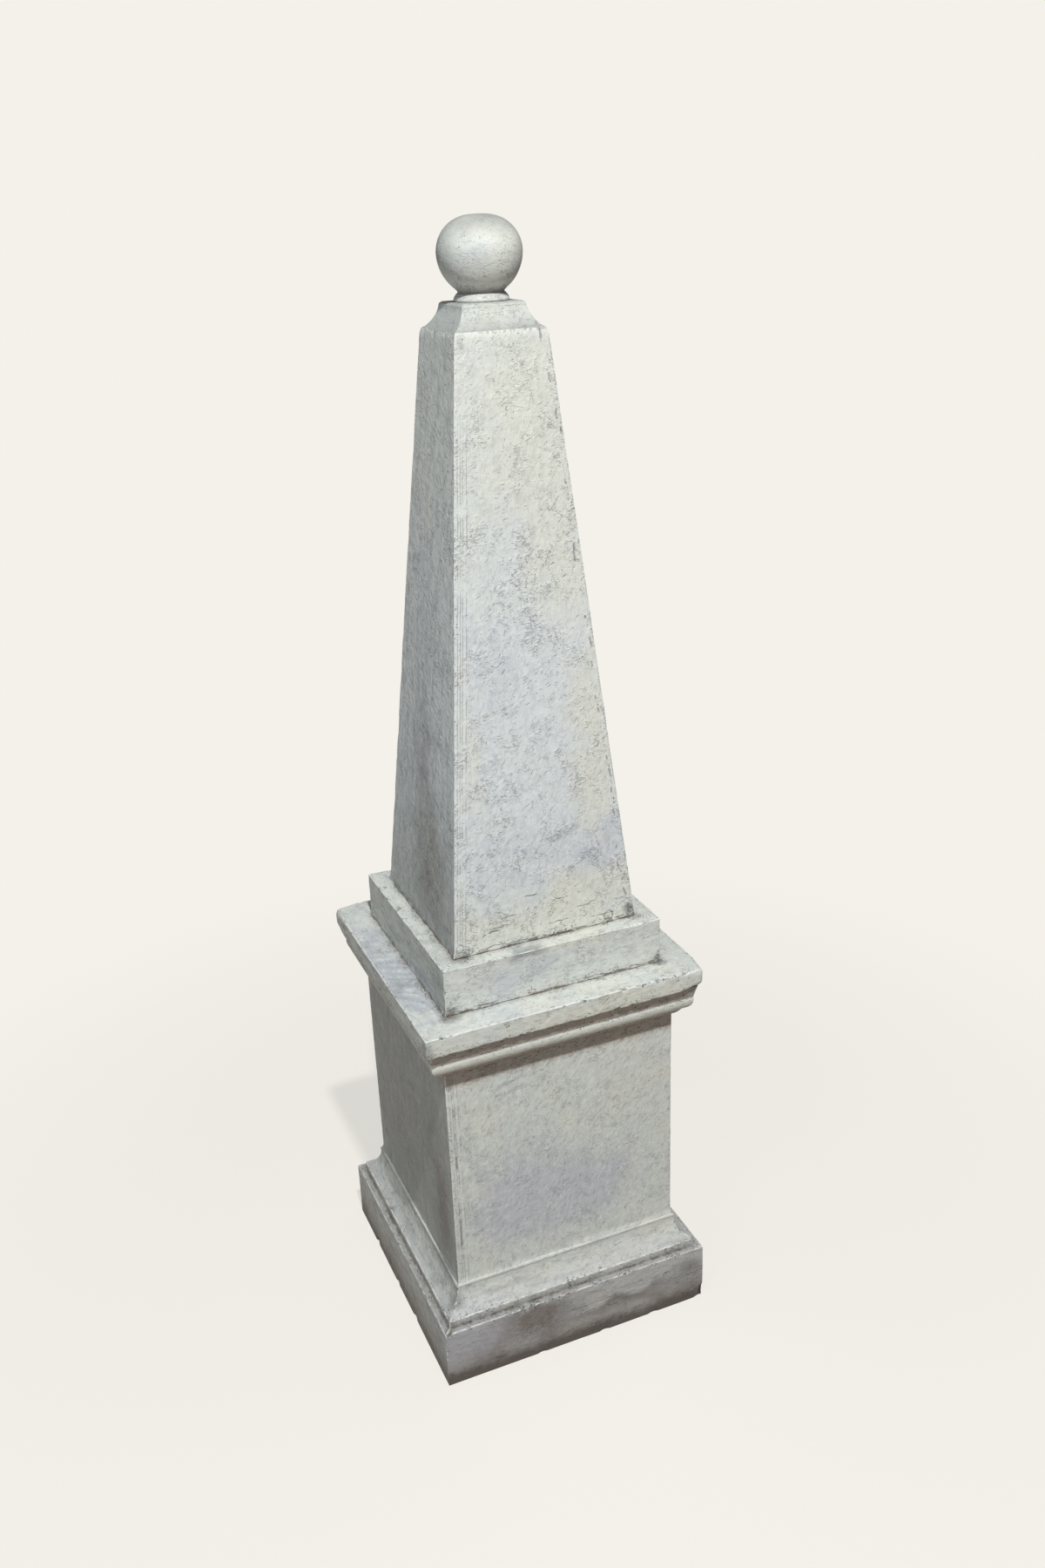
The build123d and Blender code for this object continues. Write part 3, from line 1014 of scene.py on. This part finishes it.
    def cracked(self, colour):
        """Open joints, cracks and chips, and darkening towards the floor, black at the foot: painted
        shade, partly grime.
        """
        clouds, smears = self.clouds - 0.5, self.smears - 0.5
        opened = self.patches(12, 0.46, 0.72, 91)
        seam = self.fall(abs(self.mark("joint")) - 1.5 * opened, -0.3, 0.7) * self.slope(opened, 0.02, 0.5)
        split = self.noise(9, 2.0, 0.6, shift=23)
        crack = self.fall(abs(self.mark("crack")) - 0.8 * self.slope(split, 0.38, 0.7), -0.3, 0.5)
        crack = crack * self.mark("crack_open") * self.slope(split, 0.36, 0.46)
        seam = (seam * 0.8 + crack).at_most(1.0)
        chip = self.mark("chip") + 2.0 * self.wobble
        hollow = self.fall(chip, 0.45, 0.8) * self.patches(2.6, 0.42, 0.54, 81)
        # Painted shade, partly grime: darker towards the floor, black at the very foot.
        floor_shade_and_grime = self.fall(self.z - 14 * self.left + 26 * clouds + 26 * smears, 8, 56)
        foot = self.fall(self.z + 24 * clouds + 18 * smears + 8 * self.wobble, 8, 31)
        colour = self.coated(
            colour,
            (seam * 0.62, CRACK),
            (hollow * 0.85, CRACK),
            (floor_shade_and_grime * 0.58, GRIME_AND_SHADE),
            (foot * 0.85, FOOT_SHADE_AND_DIRT),
        )
        return colour, seam


def gesso(name, upright, scrub, smeared):
    """A gesso's coats and marks in the order they were laid, and the height of its skin."""
    f = Gesso(name, upright, scrub, smeared)
    scratches = f.scratches()

    # Hand marks: arcs of the trowel and rings of filler.
    arcs = (f.mark("arc") * 0.40 + 7 * f.clouds).sine()
    arcs = f.slope(arcs, -0.4, 1.0) * f.mark("sweep")
    blot = f.mark("blot") + 0.9 * f.wobble
    ring = f.fall(abs(blot - 1.0), 0.06, 0.24) * f.patches(6, 0.26, 0.42, 37, 1.0, 0.5)
    colour = f.coated(
        f.veiled(f.painted()),
        (scratches * 0.44, CRACK),
        (arcs * 0.42, SLATE),
        (ring * (0.20 + 0.35 * scrub), CRACK),
    )

    crinkle = f.streaks(8, 6.5, 2.6, 11, 3.0)
    relief = 0.10 * f.fine + 0.7 * f.mottle + 1.0 * f.clouds + (1.9 - 1.2 * f.aloft) * f.left * f.slanted
    relief = relief + (0.05 + 0.10 * scrub + 0.75 * scrub * f.cluster) * crinkle
    relief = relief + 0.5 * f.smears - 0.45 * scratches + 0.2 * arcs - 0.5 * ring
    if upright:
        colour, lines = f.combed(colour)
        relief = relief - 0.35 * lines
    colour, flecks = f.dirt_shade_and_highlights(colour)
    colour, seam = f.cracked(colour)
    rough = 0.60 - 0.12 * f.clouds + 0.2 * scratches
    return f.finished(colour, rough, relief - 0.8 * seam - 0.5 * flecks)


def satin_gesso(name):
    """Smoother gesso of the finial: soft clouds, a few flecks and scrapes, painted shade on the ball's
    crown and sides and, partly grime, at its neck, and a painted highlight under it.
    """
    f = Finish(name)
    normal = f.node("ShaderNodeNewGeometry", output="Normal")
    out_x, out_y, out_z = f.split(normal)
    left = f.slope(-1 * out_x, 0.5, 0.9)
    clouds = f.noise(26, 3.0, 0.6)
    mottle = f.noise(10, 3.0, 0.6)
    flecks = f.noise(2.4, 2.0, 0.6, f.scaled(f.place, (1, 1, 1.5)), 0.6)
    scrapes = f.slope(flecks + 0.11 * f.mark("soot"), 0.59, 0.69)
    scrapes = scrapes * (0.25 + 0.75 * f.patches(15, 0.46, 0.62, 12))
    on_block = f.fall(f.z, SHAFT_CAP_TOP - 3, SHAFT_CAP_TOP)
    on_ball = f.slope(f.z, COLLAR_TOP - 0.5, COLLAR_TOP + 7.5)
    worn_and_lit_arris = f.fall(f.mark("arris") + 2.0 * (mottle - 0.5), 0.6, 2.4)
    ball_rim_shade = f.slope(out_x, 0.45, 0.95) + 0.7 * f.slope(-1 * out_x, 0.7, 1.0)
    smudge = f.slope(f.noise(6, 3.0, 0.6, f.scaled(f.place, (1, 1, 1.6)), 0.5, 64), 0.54, 0.70)
    curl = f.noise(8, 2.0, 0.55, f.scaled(f.place, (1, 1, 2.0)), shift=51)
    scribble = f.fall(abs(curl - 0.5), 0.010, 0.034) * f.patches(5, 0.48, 0.60, 29)
    scribble = scribble * (1 - 0.8 * f.slope(f.z, COLLAR_TOP + 7.5, COLLAR_TOP + 13.5))
    blot = f.mark("blot") + 0.7 * (mottle - 0.5)
    ring = f.fall(abs(blot - 1.0), 0.05, 0.16) * f.patches(5, 0.40, 0.56, 37, 1.0, 0.5)

    # The collar is lighter; above it the neck under the ball is darkened, painted shade that is partly
    # grime, and a dark line marks where the collar sits on the block.
    collar = f.slope(f.z, SHAFT_CAP_TOP + 1.6, SHAFT_CAP_TOP + 3)
    collar = collar * f.fall(f.z, COLLAR_TOP - 1.5, COLLAR_TOP - 0.5)
    streaks = f.slope(f.noise(7, 3.0, 0.6, f.scaled(f.place, (1, 1, 3)), 0.8), 0.44, 0.62)
    neck = f.slope(f.z, COLLAR_TOP - 0.5, COLLAR_TOP + 0.5)
    neck = neck * f.fall(f.z + 10 * (mottle - 0.5), COLLAR_TOP + 1.5, COLLAR_TOP + 10.5)
    seat = f.fall(abs(f.z - (SHAFT_CAP_TOP + 0.6)), 0.4, 1.6) * f.fall(abs(f.x) + abs(f.y), 52, 60)
    colour = f.coated(
        tinted_ground(f, clouds, mottle, 0.5 * left),
        (f.slope(mottle, 0.50, 0.76) * 0.22, SOOT),
        (f.fall(mottle, 0.28, 0.46) * 0.35, HIGHLIGHT),
        # Painted light: the crown and the sides of the ball are darkened as painted shade, its underside
        # lightened as a painted highlight.
        (f.slope(out_z, 0.2, 0.9) * (0.45 + 0.55 * clouds), VEIL),
        (on_block * (0.06 + 0.22 * clouds), VEIL),
        (worn_and_lit_arris * 0.12, HIGHLIGHT),
        (f.slope(-1 * out_z, 0.1, 0.7) * 0.9, HIGHLIGHT),
        (ball_rim_shade * on_ball * (0.20 + 0.5 * clouds), VEIL),
        (smudge * 0.10, SOOT),
        ((scrapes * 0.50 + ring * 0.45 + scribble * 0.22).at_most(1.0), CRACK),
        (collar * 0.25, HIGHLIGHT),
        (collar * streaks * 0.34, GRIME_AND_SHADE),
        ((neck * 0.58 + seat * 0.4).at_most(1.0), UMBER),
    )
    relief = 0.8 * clouds + 0.45 * mottle + 0.3 * flecks
    relief = relief - 0.4 * scrapes - 0.3 * ring - 0.3 * scribble - 0.2 * smudge
    return f.finished(colour, 0.50 + 0.15 * mottle + 0.2 * scrapes, relief)


def bare_softwood(name):
    """Unpainted boards inside the hollow."""
    f = Finish(name)
    grain = f.noise(3.0, 3.0, 0.6, f.scaled(f.place, (0.06, 1, 1)), 0.4)
    rings = f.noise(14.0, 2.0, 0.5, f.scaled(f.place, (0.04, 1, 1)), 0.8)
    colour = f.mix(f.slope(rings, 0.35, 0.65), PALE_WOOD, RING_WOOD)
    colour = f.mix(f.slope(grain, 0.5, 0.7) * 0.5, colour, GRAIN_WOOD)
    return f.finished(colour, 0.75 - 0.15 * grain, grain, 0.3 * MM)


shaft_gesso = gesso("scrubbed_gesso", True, 1.0, 0.18)
die_gesso = gesso("clouded_gesso", True, 0.5, 0.34)
level_gesso = gesso("smeared_gesso", False, 0.65, 0.30)
smooth_gesso = satin_gesso("satin_gesso")
softwood = bare_softwood("bare_softwood")

# ---------------------------------------------------------------- the obelisk

# How far apart the grid lines lie on each side; front and left are the finest.
WEAVES = {"front": 2.2, "left": 2.2, "right": 3.2, "back": 3.2}

for board_name, board_gesso, foot, head, low, high, top_shown in (
    ("plinth", level_gesso, PLINTH_HALF, PLINTH_HALF, 0.0, PLINTH_HIGH, True),
    ("die", die_gesso, DIE_HALF, DIE_HALF, PLINTH_HIGH, DIE_TOP, False),
    ("step", level_gesso, STEP_HALF, STEP_HALF, CAP_TOP, STEP_TOP, True),
    ("shaft", shaft_gesso, SHAFT_FOOT, SHAFT_HEAD, STEP_TOP, SHAFT_TOP, False),
):
    boxed_boards(board_name, (board_gesso, softwood), foot, head, low, high, WEAVES, top_shown)

base_path = section_path(
    (26.0, 92.0), ((25.0, 102.0), None, 1.0), ((3.2, 135.1), 38.0, 1.2), ((0.4, 141.3), -4.0, 0.7)
)
bed_path = section_path(
    (0.4, 485.3), ((11.0, 497.8), -22.0, 1.0), ((12.5, 497.8), None, 0.8), ((22.0, 517.0), -16.0, 1.0),
    ((26.5, 537.0), None, 1.5),
)
mitred_moulding("base_moulding", (level_gesso, level_gesso), base_path, WEAVES)
mitred_moulding("bed_moulding", (level_gesso, level_gesso), bed_path, WEAVES)

flat_board(
    "cap_slab", (level_gesso, softwood), CAP_HALF, DIE_TOP, CAP_TOP, 3.0,
    ALL_FACES, cap_radius,
)
flat_board(
    "step_top", (level_gesso, softwood), STEP_HALF - BOARD, STEP_TOP - BOARD, STEP_TOP, 4.0,
    {"2+"}, sharp_radius,
)
shaft_cap_path = section_path(
    (58.4, 1393.0), ((54.6, 1395.6), -9.0, 0.8), ((41.0, 1418.0), 38.0, 1.2), ((37.0, 1423.0), -4.6, 0.8)
)
square_turned("shaft_cap", (smooth_gesso, softwood), shaft_cap_path, 1.8)

collar_path = section_path(
    (33.4, 1423.0), ((33.6, 1424.4), None, 0.5), ((31.0, 1430.0), -9.0, 0.6), ((28.5, 1432.5), -5.0, 0.6)
)
lathe("neck_collar", (smooth_gesso, softwood), collar_path, 160, 0.3)


def ball_path():
    """Neck, throat and ball, with the crown softly flattened."""
    start = math.asin((BALL_MIDDLE - COLLAR_TOP - 2.8) / BALL_RADIUS)
    path = [(NECK_RADIUS, COLLAR_TOP), (NECK_RADIUS - 0.2, COLLAR_TOP + 1.4)]
    rise = BALL_TOP - BALL_MIDDLE
    for angle in np.linspace(-start + 0.06, math.pi / 2 - 0.02, 96):
        lift = math.sin(angle)
        flatten = rise if lift > 0 else BALL_RADIUS
        bulge = 1.0 if lift <= 0 else 1 - 0.02 * lift
        spread = math.cos(angle) ** (0.8 if lift > 0 else 1.0)
        path.append((BALL_RADIUS * spread * bulge, BALL_MIDDLE + flatten * lift))
    return np.array(path)


lathe("ball", (smooth_gesso, smooth_gesso), ball_path(), 224, 0.35)

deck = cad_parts["plinth_deck"]
deck.data.materials.clear()
deck.data.materials.append(softwood)

# ---------------------------------------------------------------- floor, lamps and camera

BACKDROP = (0.905, 0.879, 0.823)
FLOOR_BOUNCE = (0.27, 0.215, 0.17)
DAYLIGHT = (0.94, 0.97, 1.0)
SHADOW_SHARE = 0.30
FLOOR_REACH = 30.0


def plain_floor():
    """A pale floor that takes a soft shadow near the object and fades into the backdrop."""
    f = Finish("pale_floor")
    to_camera, in_gloss = (
        f.node("ShaderNodeLightPath", output=ray) for ray in ("Is Camera Ray", "Is Glossy Ray")
    )
    seen = f.slope(to_camera + in_gloss, 0.0, 1.0)
    far = f.node("ShaderNodeVectorMath", {"operation": "LENGTH"}, {0: f.place}, "Value")
    plain = seen * (1 - SHADOW_SHARE * f.fall(far, 500, 1500))
    diffuse = f.node("ShaderNodeBsdfDiffuse", inputs={"Color": f.mix(seen, FLOOR_BOUNCE, BACKDROP)})
    glow = f.node("ShaderNodeEmission", inputs={"Color": (*BACKDROP, 1)})
    shader = f.node("ShaderNodeMixShader", inputs={0: plain, 1: diffuse, 2: glow})
    f.node("ShaderNodeOutputMaterial", inputs={"Surface": shader})
    mesh = bpy.data.meshes.new("floor")
    corners = [(x * FLOOR_REACH, y * FLOOR_REACH, 0) for x, y in ((-1, -1), (1, -1), (1, 1), (-1, 1))]
    mesh.from_pydata(corners, [], [(0, 1, 2, 3)])
    mesh.materials.append(f.material)
    floor = bpy.data.objects.new("floor", mesh)
    bpy.context.scene.collection.objects.link(floor)


def backdrop(fill):
    """The backdrop's colour where it is seen, and an even fill on the object."""
    world = bpy.data.worlds.new("studio")
    world.use_nodes = True
    bpy.context.scene.world = world
    sky = Nodes(world.node_tree)
    to_camera = sky.node("ShaderNodeLightPath", output="Is Camera Ray")
    light = sky.node("ShaderNodeBackground", inputs={"Color": (*DAYLIGHT, 1), "Strength": fill})
    seen = sky.node("ShaderNodeBackground", inputs={"Color": (*BACKDROP, 1)})
    mixed = sky.node("ShaderNodeMixShader", inputs={0: to_camera, 1: light, 2: seen})
    sky.node("ShaderNodeOutputWorld", inputs={"Surface": mixed})


def level_side(ahead):
    """The level direction to the right of the way ahead."""
    side = np.cross(ahead, (0, 0, 1.0))
    return side / np.linalg.norm(side)


def stand(name, data, right, ahead, place):
    """Sets up a lamp or camera at its place, looking ahead."""
    thing = bpy.data.objects.new(name, data)
    turn = Matrix(np.column_stack((right, np.cross(right, ahead), -ahead)).tolist())
    thing.matrix_world = Matrix.Translation(place) @ turn.to_4x4()
    bpy.context.scene.collection.objects.link(thing)
    return thing


def lamp(name, place, target, size, power, colour):
    """A round soft lamp turned to its target."""
    data = bpy.data.lights.new(name, "AREA")
    data.shape = "DISK"
    data.size = size
    data.energy = power
    data.color = colour
    ahead = np.array(target, float) - np.array(place, float)
    ahead /= np.linalg.norm(ahead)
    stand(name, data, level_side(ahead), ahead, place).visible_camera = False


def camera(place, heading, tilt, roll, lens):
    """A camera at place, turned by heading, tilt and roll in degrees."""
    data = bpy.data.cameras.new("camera")
    data.sensor_fit = "VERTICAL"
    data.sensor_height = 36.0
    data.lens = lens
    heading, tilt, roll = map(math.radians, (heading, tilt, roll))
    ahead = (math.cos(tilt) * math.sin(heading), math.cos(tilt) * math.cos(heading), math.sin(tilt))
    ahead = np.array(ahead)
    side = level_side(ahead)
    right = side * math.cos(roll) + np.cross(side, ahead) * math.sin(roll)
    bpy.context.scene.camera = stand("camera", data, right, ahead, place)


plain_floor()
backdrop(0.25)
lamp("key_lamp", (-0.50, -2.5, 4.7), (0, 0, 0.8), 0.20, 192.0, (1.0, 0.995, 0.99))
lamp("fill_lamp", (-1.35, -1.15, 1.15), (0, 0, 1.3), 0.7, 4.2, (0.88, 0.96, 1.0))
camera((-0.6381, -1.6067, 1.5281), 22.52, -22.83, -2.27, 31.70)

bpy.context.scene.view_settings.view_transform = "Standard"
